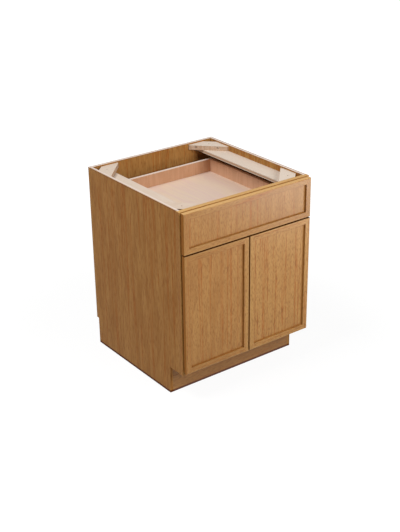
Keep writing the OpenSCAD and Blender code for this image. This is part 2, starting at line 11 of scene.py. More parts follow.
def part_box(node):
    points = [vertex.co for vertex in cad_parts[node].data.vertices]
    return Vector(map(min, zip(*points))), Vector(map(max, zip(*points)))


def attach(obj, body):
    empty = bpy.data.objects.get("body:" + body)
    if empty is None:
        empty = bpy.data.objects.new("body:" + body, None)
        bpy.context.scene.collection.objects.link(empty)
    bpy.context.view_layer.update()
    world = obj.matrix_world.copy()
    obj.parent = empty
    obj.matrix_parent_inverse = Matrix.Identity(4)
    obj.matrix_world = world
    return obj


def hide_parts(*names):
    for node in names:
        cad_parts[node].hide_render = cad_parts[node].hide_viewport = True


bl_info = {
    "name": "Base Cabinet Finish",
    "version": (1, 0, 0),
    "blender": (4, 5, 0),
    "location": "View3D > Sidebar > Cabinet",
    "description": "Wood, hardware and studio for a double door base cabinet",
    "category": "Object",
}

MM = 0.001
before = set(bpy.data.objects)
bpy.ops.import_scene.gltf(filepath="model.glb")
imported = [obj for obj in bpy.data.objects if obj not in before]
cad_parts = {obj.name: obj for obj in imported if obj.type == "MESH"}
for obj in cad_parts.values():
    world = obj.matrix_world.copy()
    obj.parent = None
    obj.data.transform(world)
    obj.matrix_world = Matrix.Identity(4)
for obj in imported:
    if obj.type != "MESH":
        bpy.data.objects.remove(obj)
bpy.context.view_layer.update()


def linear(hex_colour):
    """An sRGB hex colour as linear red, green and blue."""
    shares = [int(hex_colour[i : i + 2], 16) / 255 for i in (1, 3, 5)]
    return tuple(c / 12.92 if c <= 0.04045 else ((c + 0.055) / 1.055) ** 2.4 for c in shares)


def colour_property(name, description, hex_colour):
    """A colour that a user can change, given as sRGB hex."""
    return FloatVectorProperty(
        name=name,
        description=description,
        subtype="COLOR",
        size=3,
        min=0,
        max=1,
        default=linear(hex_colour),
    )


def power_property(name, description, watts):
    """The power of a lamp, which a user can change."""
    return FloatProperty(name=name, description=description, default=watts, unit="POWER")


class CABINET_PG_stain(bpy.types.PropertyGroup):
    """Colours of the woods, and of the painted shade and highlights on them"""

    honey_light: colour_property("Honey light", "Early wood of the stained face veneer", "#BD8E52")
    honey_dark: colour_property("Honey dark", "Late wood of the stained face veneer", "#A6753E")
    streak: colour_property("Streak", "Orange streaks that run along the grain", "#A8672F")
    pore: colour_property("Pore", "Stain gathered in the open pores", "#8C5A2E")
    # Stain at the top of the carcass's outer veneer; elsewhere painted shade: on the doors' top
    # edges, in the gaps, on the fronts' left side faces and on the front left block's cut face
    edge: colour_property("Edge", "End grain and corners, where more stain soaks in", "#5C3414")
    # Painted shadow: a dark colour along the lower edges that stand on the floor
    foot: colour_property("Foot", "Cut lower edges, which drink the most stain", "#5E2A05")
    # Painted shade round the panels of the fronts, in the corners of their recesses
    panel_shade: colour_property("Glaze", "Stain gathered round the panels of the fronts", "#915A2C")
    rim: colour_property("Rim", "Sawn and sanded edges without stain", "#DCCBBF")
    # Painted highlight: a pale gold on top edges and outer edges of the fronts and the frame, where
    # light catches them
    painted_highlight: colour_property("Gold", "Top edges of the face frame and of the fronts", "#C89C5C")
    ply_pale: colour_property("Pale ply", "Birch layers and faces without stain", "#D6C6B6")
    ply_cross: colour_property("Cross ply", "End grain of the cross layers", "#B8977A")
    floor_light: colour_property("Floor light", "Early wood of the drawer bottom", "#D9C3AD")
    floor_pink: colour_property("Floor pink", "Late wood of the drawer bottom", "#D6BDAF")
    box_light: colour_property("Drawer light", "Early wood of the drawer box", "#D8AC8C")
    box_dark: colour_property("Drawer dark", "Late wood of the drawer box", "#C0906C")


class CABINET_PG_metal(bpy.types.PropertyGroup):
    """Colours of the hardware"""

    zinc: colour_property("Zinc", "Bright zinc plate on steel", "#C9CCD0")
    plastic: colour_property("Plastic", "Moulded plastic of the drawer clips", "#4B4E53")
    bumper: colour_property("Bumper", "Cloudy clear polyurethane", "#DADCDD")


class CABINET_PG_stage(bpy.types.PropertyGroup):
    """Lamps and camera"""

    key_power: power_property("Key lamp", "Power of the lamp at the front right", 58)
    left_power: power_property("Left lamp", "Power of the lamp at the upper left", 220)
    sheen_power: power_property("Sheen lamp", "Power of the floor panel at the front right", 40)
    world_light: FloatProperty(
        name="World",
        description="Strength of the light from all round",
        default=0.2,
        min=0,
    )
    lens: FloatProperty(
        name="Lens",
        description="Focal length of the camera",
        default=71.05,
        min=1,
        unit="CAMERA",
    )


# Nodes of the materials

COLOURS = {"data_type": "RGBA"}  # a Mix node's colours are inputs 6 and 7, and output 2
SMOOTH = {"interpolation_type": "SMOOTHSTEP"}
MULTIPLY = {"operation": "MULTIPLY"}
MAXIMUM = {"operation": "MAXIMUM"}


def add(tree, kind, settings=None, output=0, **links):
    """Adds a shader node with its settings, sets or links its inputs, and returns an output.

    An input goes by its name with underscores for spaces, or by its number after an underscore.
    """
    made = tree.nodes.new("ShaderNode" + kind)
    for name, value in (settings or {}).items():
        setattr(made, name, value)
    for name, value in links.items():
        socket = made.inputs[int(name[1:]) if name[0] == "_" else name.replace("_", " ")]
        if isinstance(value, bpy.types.NodeSocket):
            tree.links.new(value, socket)
        elif socket.type == "RGBA":
            socket.default_value = (*value[:3], 1)
        else:
            socket.default_value = value
    return made.outputs[output] if made.outputs else None


def coordinate(tree, axis):
    """The place along one axis, in metres."""
    coords = add(tree, "TexCoord", None, "Object")
    return add(tree, "SeparateXYZ", None, "xyz".index(axis), Vector=coords)


def near_plane(tree, axis, place, width):
    """One at a plane, and nought past a width from it, which is negative towards lower values."""
    along = coordinate(tree, axis)
    return add(tree, "MapRange", SMOOTH, _0=along, _1=place, _2=place + width, _3=1, _4=0)


def fibres(tree, axis, shift, width, stretch, detail=2.0, distortion=0.0):
    """A pattern about a width in millimetres across, and a stretch times longer along the grain."""
    coords = add(tree, "TexCoord", None, "Object")
    scale = [1.0, 1.0, 1.0]
    scale["xyz".index(axis)] = 1 / stretch
    squeezed = add(tree, "Mapping", None, Vector=coords, Location=shift, Scale=scale)
    return add(tree, "TexNoise", None, Vector=squeezed, Scale=1 / (width * MM), Detail=detail,
               Distortion=distortion)


def mottle(tree, width, detail=2.0):
    """A pattern without a grain, about a width in millimetres across."""
    coords = add(tree, "TexCoord", None, "Object")
    return add(tree, "TexNoise", None, Vector=coords, Scale=1 / (width * MM), Detail=detail)


def tinted(tree, colour, other, pattern, low, high, least=0.0, most=1.0):
    """A colour under a share of another, from least to most as a pattern goes from low to high."""
    share = add(tree, "MapRange", SMOOTH, _0=pattern, _1=low, _2=high, _3=least, _4=most)
    return add(tree, "Mix", COLOURS, 2, _0=share, _6=colour, _7=other)


def new_material(name):
    """An empty material and its node tree."""
    material = bpy.data.materials.new(name)
    material.use_nodes = True
    material.node_tree.nodes.clear()
    return material, material.node_tree


def finish_shader(tree, colour, roughness, **settings):
    """The shader of a surface, linked to the material's output."""
    shader = add(tree, "BsdfPrincipled", None, Base_Color=colour, Roughness=roughness, **settings)
    add(tree, "OutputMaterial", None, Surface=shader)


# Woods

STREAK_LENGTH = 1200  # millimetres that a streak of late wood runs along the grain
NARROW_FIGURE = 17  # millimetres from streak to streak
WIDE_FIGURE = 24
TOWARDS_FRONT_LEFT = (-1, -1, 0)

# Shares of light wood in a stained board, where it is darkest and where it is lightest
PLAIN_TONE = (0.0, 0.7)
SIDE_TONE = (-0.2, 0.95)
TOE_TONE = (-0.3, 0.3)
PALE_TONE = (0.5, 1.1)
# Paler still: a painted sheen on the right door's hinge stile
PAINTED_SHEEN_TONE = (0.8, 1.4)

# Shares of dark wood in the drawer box, where it is lightest and where it is darkest
BOX_TONE = (0.1, 0.5)
# The drawer's back takes more dark wood than its other boards: painted shade
BOX_BACK_SHADE_TONE = (0.75, 1.15)


def veneer(tree, axis, shift, tone, figure_width):
    """Colour and relief of honey stained oak veneer, with its grain along one axis.

    tone gives the board's share of light wood where it is darkest and where it is lightest, and
    figure_width is about how far apart the streaks are in millimetres: sliced wide panels show a
    coarser figure than solid rails. The open pores are about 0.3 mm wide, too fine to show, so
    their flecks are drawn a fifth as wide as the figure.
    """
    stain = bpy.context.scene.cabinet_stain
    broad = fibres(tree, axis, shift, width=30, stretch=6, detail=3, distortion=0.4)
    figure = fibres(tree, axis, shift, figure_width, STREAK_LENGTH / figure_width,
                    detail=1, distortion=0.1)
    flecks = fibres(tree, axis, shift, figure_width / 5, figure_width / 4, detail=1)
    knots = fibres(tree, axis, shift, width=9, stretch=3, detail=1)

    # A streak follows the line where the figure passes its middle, and the knots bead it
    off_line = add(tree, "Math", {"operation": "SUBTRACT"}, _0=figure, _1=0.5)
    from_line = add(tree, "Math", {"operation": "ABSOLUTE"}, _0=off_line)
    on_line = add(tree, "MapRange", SMOOTH, _0=from_line, _1=0, _2=0.045, _3=0.85, _4=0)
    strength = add(tree, "MapRange", SMOOTH, _0=knots, _1=0.3, _2=0.55, _3=0.4, _4=1)
    line = add(tree, "Math", MULTIPLY, _0=on_line, _1=strength)
    darkest = add(tree, "MapRange", SMOOTH, _0=knots, _1=0.55, _2=0.7, _3=0, _4=0.9)
    bead = add(tree, "Math", MULTIPLY, _0=line, _1=darkest)

    colour = tinted(tree, stain.honey_dark, stain.honey_light, broad, 0.2, 0.8, *tone)
    colour = tinted(tree, colour, stain.pore, flecks, 0.4, 0.8, most=0.7)
    colour = add(tree, "Mix", COLOURS, 2, _0=line, _6=colour, _7=stain.streak)
    colour = add(tree, "Mix", COLOURS, 2, _0=bead, _6=colour, _7=stain.pore)
    return colour, flecks


def stained_oak(name, axis, shift, gloss, planes=(), tone=PLAIN_TONE, figure_width=NARROW_FIGURE):
    """Oak faced board under brown stain and satin lacquer: soft sheen, fine pores along the grain.

    gloss is the specular level, or the axis, place and width of a plane and the level at it, which
    fades to none past that width. planes lists where stain gathers or is missing, or where shade
    and highlights are painted, each with its axis, place, width, colour and share, None for the
    colour of the board itself, and a second plane where it ends there too. A later plane covers
    those before it.
    """
    material, tree = new_material(name)
    board, relief = veneer(tree, axis, shift, tone, figure_width)
    colour = board
    for plane_axis, place, width, other, share, *second in planes:
        near = near_plane(tree, plane_axis, place, width)
        mask = add(tree, "Math", MULTIPLY, _0=near, _1=share)
        for plane in second:
            mask = add(tree, "Math", MULTIPLY, _0=mask, _1=near_plane(tree, *plane))
        colour = add(tree, "Mix", COLOURS, 2, _0=mask, _6=colour, _7=other or board)
    if isinstance(gloss, tuple):
        *plane, level = gloss
        gloss = add(tree, "Math", MULTIPLY, _0=near_plane(tree, *plane), _1=level)
    bump = add(tree, "Bump", None, Strength=0.12, Distance=0.3 * MM, Height=relief)
    finish_shader(tree, colour, roughness=0.3, Specular_IOR_Level=gloss, Normal=bump)
    return material


def ply_colour(tree, low, thickness, layers, pale):
    """Colour of flat lying plywood by height in the board: pale faces, and striped edges."""
    height = coordinate(tree, "z")
    depth = add(tree, "MapRange", None, _0=height, _1=low, _2=low + thickness, _3=0, _4=layers)
    wave = add(tree, "Math", {"operation": "PINGPONG"}, _0=depth, _1=1.0)
    return tinted(tree, pale, bpy.context.scene.cabinet_stain.ply_cross, wave, 0.35, 0.65)


def bare_birch_ply(name, axis, low, thickness, layers, shift, shade_share, streaks, cut_face_shade):
    """Bare birch plywood: pale, nearly matt, with fine straight grain and striped edges.

    The share of darker wood is painted shade, which darkens the pieces at the left; streaks
    darkens the upright faces; and the last flag paints shade on the saw cut that faces the front
    left corner. Birch fibres are too fine to show, so they are drawn as bands about 5 mm wide.
    """
    material, tree = new_material(name)
    stain = bpy.context.scene.cabinet_stain
    colour = ply_colour(tree, low, thickness, layers, stain.ply_pale)
    grain = fibres(tree, axis, shift, width=5, stretch=18, detail=3, distortion=0.3)
    colour = tinted(tree, colour, stain.ply_cross, grain, 0.45, 0.8, shade_share, shade_share + 0.25)
    if streaks:
        normal = add(tree, "TexCoord", None, "Normal")
        up = add(tree, "SeparateXYZ", None, "Z", Vector=normal)
        upright = add(tree, "MapRange", SMOOTH, _0=up, _1=0.3, _2=0.7, _3=1, _4=0)
        saw = fibres(tree, "z", shift, width=7, stretch=10)
        least = 0.3 * streaks
        marks = add(tree, "MapRange", SMOOTH, _0=saw, _1=0.35, _2=0.65, _3=least, _4=streaks)
        mask = add(tree, "Math", MULTIPLY, _0=upright, _1=marks)
        colour = add(tree, "Mix", COLOURS, 2, _0=mask, _6=colour, _7=stain.ply_cross)
    # Painted shade on the saw cut that faces the front left corner
    if cut_face_shade:
        normal = add(tree, "TexCoord", None, "Normal")
        dot = {"operation": "DOT_PRODUCT"}
        towards = add(tree, "VectorMath", dot, "Value", _0=normal, _1=TOWARDS_FRONT_LEFT)
        colour = tinted(tree, colour, stain.edge, towards, 1.1, 1.3, most=0.9)
    bump = add(tree, "Bump", None, Strength=0.1, Distance=0.2 * MM, Height=grain)
    finish_shader(tree, colour, roughness=0.6, Specular_IOR_Level=0.3, Normal=bump)
    return material


def coated_maple_ply(name, axis, low, thickness, layers, shift):
    """Clear coated maple plywood: pinkish and pale bands along the grain, with a soft sheen.

    Maple fibres are too fine to show, so they are drawn about 3 mm wide.
    """
    material, tree = new_material(name)
    stain = bpy.context.scene.cabinet_stain
    bands = fibres(tree, axis, shift, width=16, stretch=14, distortion=0.3)
    grain = fibres(tree, axis, shift, width=3, stretch=8)
    pale = tinted(tree, stain.floor_light, stain.floor_pink, bands, 0.35, 0.65)
    pale = tinted(tree, pale, stain.box_light, grain, 0.5, 0.8, most=0.2)
    colour = ply_colour(tree, low, thickness, layers, pale)
    bump = add(tree, "Bump", None, Strength=0.1, Distance=0.2 * MM, Height=grain)
    finish_shader(tree, colour, roughness=0.5, Specular_IOR_Level=0.3, Normal=bump)
    return material


def coated_beech(name, axis, shift, tone, top):
    """Clear coated beech: pinkish tan with soft bands along the grain, and a soft sheen.

    tone gives the board's share of dark wood where it is lightest and where it is darkest, and
    top the height of an edge that takes a pale painted highlight, or None. The fibres are too fine
    to show, so they are drawn about 3 mm wide.
    """
    material, tree = new_material(name)
    stain = bpy.context.scene.cabinet_stain
    bands = fibres(tree, axis, shift, width=10, stretch=10, distortion=0.4)
    grain = fibres(tree, axis, shift, width=3, stretch=14)
    colour = tinted(tree, stain.box_light, stain.box_dark, bands, 0.35, 0.65, *tone)
    colour = tinted(tree, colour, stain.box_dark, grain, 0.55, 0.8, most=0.35)
    if top:
        height = coordinate(tree, "z")
        colour = tinted(tree, colour, stain.rim, height, top - 0.6 * MM, top - 0.3 * MM)
    bump = add(tree, "Bump", None, Strength=0.1, Distance=0.2 * MM, Height=grain)
    finish_shader(tree, colour, roughness=0.5, Specular_IOR_Level=0.5, Normal=bump)
    return material


# Hardware finishes

ZINC_SHADE = linear("#B4B7BC")
PLASTIC_SHADE = linear("#3C3F44")
BUMPER_SHADE = linear("#C8CBCC")


def zinc_plate(name):
    """Bright zinc plate on pressed steel: grey metal, slightly uneven in gloss."""
    material, tree = new_material(name)
    metal = bpy.context.scene.cabinet_metal
    cloud = mottle(tree, width=6, detail=3)
    roughness = add(tree, "MapRange", None, _0=cloud, _1=0.3, _2=0.7, _3=0.28, _4=0.42)
    colour = add(tree, "Mix", COLOURS, 2, _0=cloud, _6=metal.zinc, _7=ZINC_SHADE)
    bump = add(tree, "Bump", None, Strength=0.05, Distance=0.1 * MM, Height=cloud)
    finish_shader(tree, colour, roughness, Metallic=1.0, Normal=bump)
    return material


def moulded_acetal(name):
    """Dark grey moulded acetal: nearly matt, with a fine spark eroded texture.

    The real grit is under 0.1 mm, too fine to show, so it is drawn as 0.8 mm.
    """
    material, tree = new_material(name)
    metal = bpy.context.scene.cabinet_metal
    grit = mottle(tree, width=0.8)
    colour = add(tree, "Mix", COLOURS, 2, _0=grit, _6=metal.plastic, _7=PLASTIC_SHADE)
    bump = add(tree, "Bump", None, Strength=0.2, Distance=0.05 * MM, Height=grit)
    finish_shader(tree, colour, roughness=0.55, Normal=bump)
    return material


def cast_polyurethane(name):
    """Soft cast polyurethane: cloudy, and lets some light through."""
    material, tree = new_material(name)
    metal = bpy.context.scene.cabinet_metal
    cloud = mottle(tree, width=2)
    colour = add(tree, "Mix", COLOURS, 2, _0=cloud, _6=metal.bumper, _7=BUMPER_SHADE)
    finish_shader(tree, colour, roughness=0.3, Transmission_Weight=0.35, IOR=1.5)
    return material


# Boards: how far from an edge the stain differs and painted shade and highlights reach, and how
# much a board shines

SKIN = 0.4 * MM
FACE_SKIN = 0.5 * MM
EASED_HIGHLIGHT = 4 * MM
TONGUE = 7 * MM
OUTER_PLY = 6 * MM
OUTER_BACK_PLY = 5 * MM
TOP_SOAKED = 6 * MM
FRAME_HIGHLIGHT = 6 * MM
FOOT_SHADOW = 5 * MM
FOOT_SHADOW_FADE = 7 * MM
GAP_SHADE = 2 * MM
FACE_DEPTH = 3 * MM

CARCASS_GLOSS = 0.03
FRAME_GLOSS = 0.05
TOE_GLOSS = 0.3
FACE_GLOSS = 0.2

NEXT_CUT = (0.377, 0.211, 0.143)  # metres of wood from one board's cut to the next one's


def shift_of(node):
    """Where in the wood a board is cut from, so that no two boards match."""
    place = sorted(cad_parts).index(node)
    return tuple(step * place for step in NEXT_CUT)


def paint(node, material):
    """Gives a CAD piece its material."""
    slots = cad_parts[node].data.materials
    slots.clear()
    slots.append(material)


class CABINET_OT_carcass(bpy.types.Operator):
    """Stain the plywood carcass, leave its top edge raw and paint shadow along the edges on the
    floor
    """

    bl_idname = "cabinet.carcass"
    bl_label = "Carcass"

    def execute(self, context):
        stain = context.scene.cabinet_stain
        for node in ("side_panel_left", "side_panel_right", "back_panel"):
            low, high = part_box(node)
            outer = {
                "side_panel_left": ("x", low.x, OUTER_PLY),
                "side_panel_right": ("x", high.x, -OUTER_PLY),
                "back_panel": ("y", high.y, -OUTER_BACK_PLY),
            }[node]
            edges = [
                ("z", high.z, -SKIN, stain.rim, 1.0),
                (*outer, None, 1.0),
                (*outer, stain.streak, 0.2),
                (*outer, stain.edge, 0.4, ("z", high.z, -TOP_SOAKED)),
            ]
            if node != "back_panel":
                # Painted shadow along the foot of the side
                edges.append(("z", low.z + FOOT_SHADOW, FOOT_SHADOW_FADE, stain.foot, 1.0))
            paint(node, stained_oak("stained_" + node, "z", shift_of(node), CARCASS_GLOSS, edges,
                                    tone=SIDE_TONE, figure_width=WIDE_FIGURE))
        for node in ("bottom_panel", "shelf"):
            paint(node, stained_oak("stained_" + node, "x", shift_of(node), CARCASS_GLOSS))
        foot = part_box("toe_kick_board")[0].z
        # Painted shadow along the foot of the toe kick board
        edges = [("z", foot + FOOT_SHADOW, FOOT_SHADOW_FADE, stain.foot, 1.0)]
        paint("toe_kick_board", stained_oak("stained_toe_kick_board", "x",
                                            shift_of("toe_kick_board"), TOE_GLOSS, edges,
                                            tone=TOE_TONE))
        return {"FINISHED"}


class CABINET_OT_face_frame(bpy.types.Operator):
    """Stain the face frame's stiles and rails"""

    bl_idname = "cabinet.face_frame"
    bl_label = "Face frame"

    def execute(self, context):
        stain = context.scene.cabinet_stain
        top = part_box("frame_top_rail")[1].z
        # The top edges of the face frame take a painted highlight
        top_edge = ("z", top, -SKIN, stain.painted_highlight, 0.8)
        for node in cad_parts:
            if node.startswith("frame_"):
                grain = "z" if "stile" in node else "x"
                edges = [top_edge]
                if node == "frame_stile_left":
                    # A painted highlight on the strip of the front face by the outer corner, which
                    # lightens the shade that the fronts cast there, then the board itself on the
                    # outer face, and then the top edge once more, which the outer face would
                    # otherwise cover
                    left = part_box(node)[0].x
                    edges += [
                        ("x", left, FRAME_HIGHLIGHT, stain.painted_highlight, 0.8),
                        ("x", left, FACE_SKIN, None, 1.0),
                        ("x", left, FACE_SKIN, stain.streak, 0.2),
                        top_edge,
                    ]
                paint(node, stained_oak("stained_" + node, grain, shift_of(node), FRAME_GLOSS,
                                        edges))
        return {"FINISHED"}


class CABINET_OT_top_supports(bpy.types.Operator):
    """Leave the ledges and corner blocks as bare plywood"""

    bl_idname = "cabinet.top_supports"
    bl_label = "Top supports"

    def execute(self, context):
        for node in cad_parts:
            if node.startswith(("top_ledge", "corner_block")):
                low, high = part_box(node)
                grain = "y" if "ledge" in node else "x"
                layers, streaks = (2, 0.0) if "ledge" in node else (6, 0.9)
                # The front left block's cut face takes painted shade, and the pieces at the left
                # take more dark wood as painted shade, the front left block most
                cut_face_shade = node == "corner_block_front_left"
                shade_share = 0.3 if cut_face_shade else 0.15 if node.endswith("left") else 0.0
                paint(node, bare_birch_ply("bare_" + node, grain, low.z, high.z - low.z, layers,
                                           shift_of(node), shade_share, streaks, cut_face_shade))
        return {"FINISHED"}


class CABINET_OT_fronts(bpy.types.Operator):
    """Stain the doors and the drawer front, with painted shade round their panels and in the gaps,
    and painted highlights along their edges
    """

    bl_idname = "cabinet.fronts"
    bl_label = "Fronts"

    def execute(self, context):
        for front in ("door_left", "door_right", "drawer_front"):
            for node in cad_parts:
                if node.startswith(front + "_") and not node.endswith(("bumpers", "screws")):
                    grain = "x" if "rail" in node else "z"
                    pale = front == "door_right" or node == "door_left_free_stile"
                    tone = PALE_TONE if pale else PLAIN_TONE
                    # The right door's hinge stile is painted paler: a painted sheen
                    if node == "door_right_hinge_stile":
                        tone = PAINTED_SHEEN_TONE
                    gloss = ("y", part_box(node)[0].y, FACE_DEPTH, FACE_GLOSS)
                    paint(node, stained_oak("stained_" + node, grain, shift_of(node), gloss,
                                            painted_light_planes(node, front), tone))
        return {"FINISHED"}


def painted_light_planes(node, front):
    """Planes of a front's member where its colour differs: painted shade round the panel, and
    painted highlights, painted shade and some raw rim colour along the edges.
    """
    stain = bpy.context.scene.cabinet_stain
    low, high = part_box(front + "_panel")
    if node.endswith("_panel"):
        # Painted shade round the panel's edges, where the frame's recess shades it
        return [
            ("z", low.z + TONGUE, 6 * MM, stain.panel_shade, 0.4),
            ("z", high.z - TONGUE, -11 * MM, stain.panel_shade, 0.5),
            ("x", low.x + TONGUE, 14 * MM, stain.panel_shade, 0.6),
            ("x", high.x - TONGUE, -12 * MM, stain.panel_shade, 0.5),
        ]
    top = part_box(front + "_top_rail")[1].z
    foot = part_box(front + "_bottom_rail")[0].z
    stiles = [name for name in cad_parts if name.startswith(front) and "stile" in name]
    left = min(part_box(name)[0].x for name in stiles)
    right = max(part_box(name)[1].x for name in stiles)
    door = front != "drawer_front"
    planes = [
        # Painted highlights along the outer edges of the front, where its eased edges catch the
        # light
        ("z", top, -EASED_HIGHLIGHT, stain.painted_highlight, 0.35),
        ("z", foot, EASED_HIGHLIGHT, stain.painted_highlight, 0.35),
        ("x", left, EASED_HIGHLIGHT, stain.painted_highlight, 0.35),
        ("x", right, -EASED_HIGHLIGHT, stain.painted_highlight, 0.35),
        # A door's top edge is painted dark, a painted shade under the front above it; the drawer
        # front's top edge takes a painted highlight and a little raw rim colour
        ("z", top, -SKIN, stain.edge if door else stain.painted_highlight, 1.0),
    ]
    if not door:
        planes.append(("z", top, -SKIN, stain.rim, 0.1))
    # Painted shade in the gaps between the fronts, on the edges that face a gap
    gap = {
        "drawer_front": ("z", foot, GAP_SHADE),
        "door_left": ("x", right, -GAP_SHADE),
        "door_right": ("x", left, GAP_SHADE),
    }[front]
    planes.append((*gap, stain.edge, 0.8))
    if door:
        planes.append(("z", top, -GAP_SHADE, stain.edge, 0.8))
    # Painted shade: the left side faces are darker and more orange than the front
    planes.append(("x", left, SKIN, stain.streak, 0.7))
    planes.append(("x", left, SKIN, stain.edge, 0.15))
    return planes


class CABINET_OT_drawer_box(bpy.types.Operator):
    """Finish the drawer box in clear coated beech, with a bottom of maple plywood"""

    bl_idname = "cabinet.drawer_box"
    bl_label = "Drawer box"

    def execute(self, context):
        for node in ("drawer_side_left", "drawer_side_right", "drawer_box_front",
                     "drawer_box_back"):
            back = node == "drawer_box_back"
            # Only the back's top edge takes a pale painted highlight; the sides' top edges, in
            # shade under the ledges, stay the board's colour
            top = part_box(node)[1].z if back else None
            tone = BOX_BACK_SHADE_TONE if back else BOX_TONE
            paint(node, coated_beech("box_" + node, "z", shift_of(node), tone, top))
        low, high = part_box("drawer_bottom")
        paint("drawer_bottom", coated_maple_ply("coated_drawer_bottom", "y", low.z,
                                                high.z - low.z, layers=4,
                                                shift=shift_of("drawer_bottom")))
        return {"FINISHED"}


# Small hardware: each shape stands on the Z axis, and takes the place of a CAD solid

WELD = 0.001 * MM
SHARP = math.radians(32)
SCREW_SIDES = 16  # four for each arm of the cross recess
ROUND_SIDES = 24
DOMED_HEAD = ((1, 0), (1, 0.4), (0.93, 0.75), (0.8, 0.95), (0.65, 1))  # shares of radius, height


def mesh_object(name, mesh):
    """An object at the origin that holds a finished bmesh."""
    data = bpy.data.meshes.new(name)
    mesh.to_mesh(data)
    mesh.free()
    item = bpy.data.objects.new(name, data)
    bpy.context.scene.collection.objects.link(item)
    return item


def box_of(points):
    """The lowest and highest corners of some points."""
    return (Vector([min(point[i] for point in points) for i in range(3)]),
            Vector([max(point[i] for point in points) for i in range(3)]))


def solids(node):
    """The separate solids of a CAD node, each as its points."""
    mesh = bmesh.new()
    mesh.from_mesh(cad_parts[node].data)
    bmesh.ops.remove_doubles(mesh, verts=mesh.verts, dist=WELD)
    seen, found = set(), []
    for first in mesh.verts:
        if first in seen:
            continue
        seen.add(first)
        solid = [first]
        for vert in solid:
            for edge in vert.link_edges:
                other = edge.other_vert(vert)
                if other not in seen:
                    seen.add(other)
                    solid.append(other)
        found.append([vert.co.copy() for vert in solid])
    mesh.free()
    return found


def turned_place(points):
    """Where a turned CAD solid stands, and its sizes.

    The matrix puts the seat of its head or collar at the origin's place with Z towards the head.
    The sizes are its reach below and above the seat, its largest and smallest radius, and how
    high the smallest radius reaches.
    """
    low, high = box_of(points)
    middle = (low + high) / 2
    axis = max(range(3), key=lambda i: high[i] - low[i])

    def radius(point):
        off = point - middle
        off[axis] = 0
        return off.length

    near = 0.05 * MM
    wide, narrow = max(map(radius, points)), min(map(radius, points))
    collar = [point[axis] for point in points if radius(point) > wide - near]
    out = 1 if min(collar) + max(collar) > low[axis] + high[axis] else -1
    seat = min(collar) if out == 1 else max(collar)
    heights = [out * (point[axis] - seat) for point in points]
    neck = max(h for h, point in zip(heights, points) if radius(point) < narrow + near)
    middle[axis] = seat
    towards = Vector([out if i == axis else 0 for i in range(3)])
    turn = Vector((0, 0, 1)).rotation_difference(towards).to_matrix().to_4x4()
    return Matrix.Translation(middle) @ turn, -min(heights), max(heights), wide, narrow, neck


def turned(rings, steps):
    """A solid turned about Z from its radii and heights, from its low end to its high end.

    Returns the mesh and its flat top, or None where the profile ends on the axis.
    """
    mesh = bmesh.new()
    verts = [mesh.verts.new((radius, 0, height)) for radius, height in rings]
    edges = [mesh.edges.new(pair) for pair in zip(verts, verts[1:])]
    bmesh.ops.spin(mesh, geom=verts + edges, cent=(0, 0, 0), axis=(0, 0, 1), angle=2 * math.pi,
                   steps=steps, use_merge=True)
    bmesh.ops.remove_doubles(mesh, verts=mesh.verts, dist=WELD)
    rim = [edge for edge in mesh.edges if edge.is_boundary]
    top = bmesh.ops.holes_fill(mesh, edges=rim, sides=steps)["faces"] if rim else [None]
    bmesh.ops.recalc_face_normals(mesh, faces=mesh.faces)
    return mesh, top[0]


def wood_screw(below, above, wide, narrow, neck):
    """A screw: a point, a thread, and a head that is domed, or flat where it is countersunk."""
    pitch, core = 1.6 * MM, 0.7 * narrow
    plain_shank, flush = 0.35 * below, 0.1 * MM
    height = 2 * narrow - below
    rings = [(0, -below)]
    while height < neck - plain_shank:
        rings += [(core, height), (narrow, height + pitch / 2)]
        height += pitch
    rings.append((narrow, min(neck, 0)))
    if above > flush:
        rings += [(radius * wide, rise * above) for radius, rise in DOMED_HEAD]
    else:
        rings.append((wide, 0))
    mesh, top = turned(rings, SCREW_SIDES)
    cross_recess(mesh, top, wide)
    return mesh


def cross_recess(mesh, top, wide):
    """A cross recess in the flat top of a screw's head."""
    lip, depth, draft = 0.05 * wide, 0.38 * wide, 0.07 * wide
    arm, half = 0.52 * wide, 0.15 * wide
    bmesh.ops.inset_individual(mesh, faces=[top], thickness=lip, use_even_offset=True)
    corners = ((arm, 0), (arm, half), (half, half), (half, arm))
    for vert in top.verts:
        turn = math.atan2(vert.co.y, vert.co.x) / (2 * math.pi)
        quarter, corner = divmod(round(turn * SCREW_SIDES) % SCREW_SIDES, len(corners))
        vert.co.xy = Matrix.Rotation(quarter * math.pi / 2, 2) @ Vector(corners[corner])
    bmesh.ops.inset_individual(mesh, faces=[top], thickness=draft, depth=-depth,
                               use_even_offset=True)


def shelf_pin(below, above, wide, narrow, inner):
    """A shelf pin: chamfered in its bore, a collar on the panel, and a rounded inner end."""
    chamfer, collar, ease = 0.6 * MM, 1.5 * MM, 0.3 * MM
    rings = [
        (0, -below),
        (narrow - chamfer, -below),
        (narrow, chamfer - below),
        (narrow, 0),
        (wide - ease, 0),
        (wide, ease),
        (wide, collar - ease),
        (wide - ease, collar),
        (narrow, collar),
        (narrow, inner - 2 * chamfer),
        (narrow - 0.5 * chamfer, inner - 0.6 * chamfer),
        (narrow - 1.6 * chamfer, above),
        (0, above),
    ]
    return turned(rings, ROUND_SIDES)[0]


def bumper(radius, height):
    """A bumper: a flat foot, a short upright wall and a dome."""
    wall, steps = 0.3 * height, 6
    rings = [(0, 0), (radius, 0)]
    for step in range(steps):
        rise = step * math.pi / (2 * steps)
        rings.append((radius * math.cos(rise), wall + (height - wall) * math.sin(rise)))
    rings.append((0, height))
    return turned(rings, ROUND_SIDES)[0]


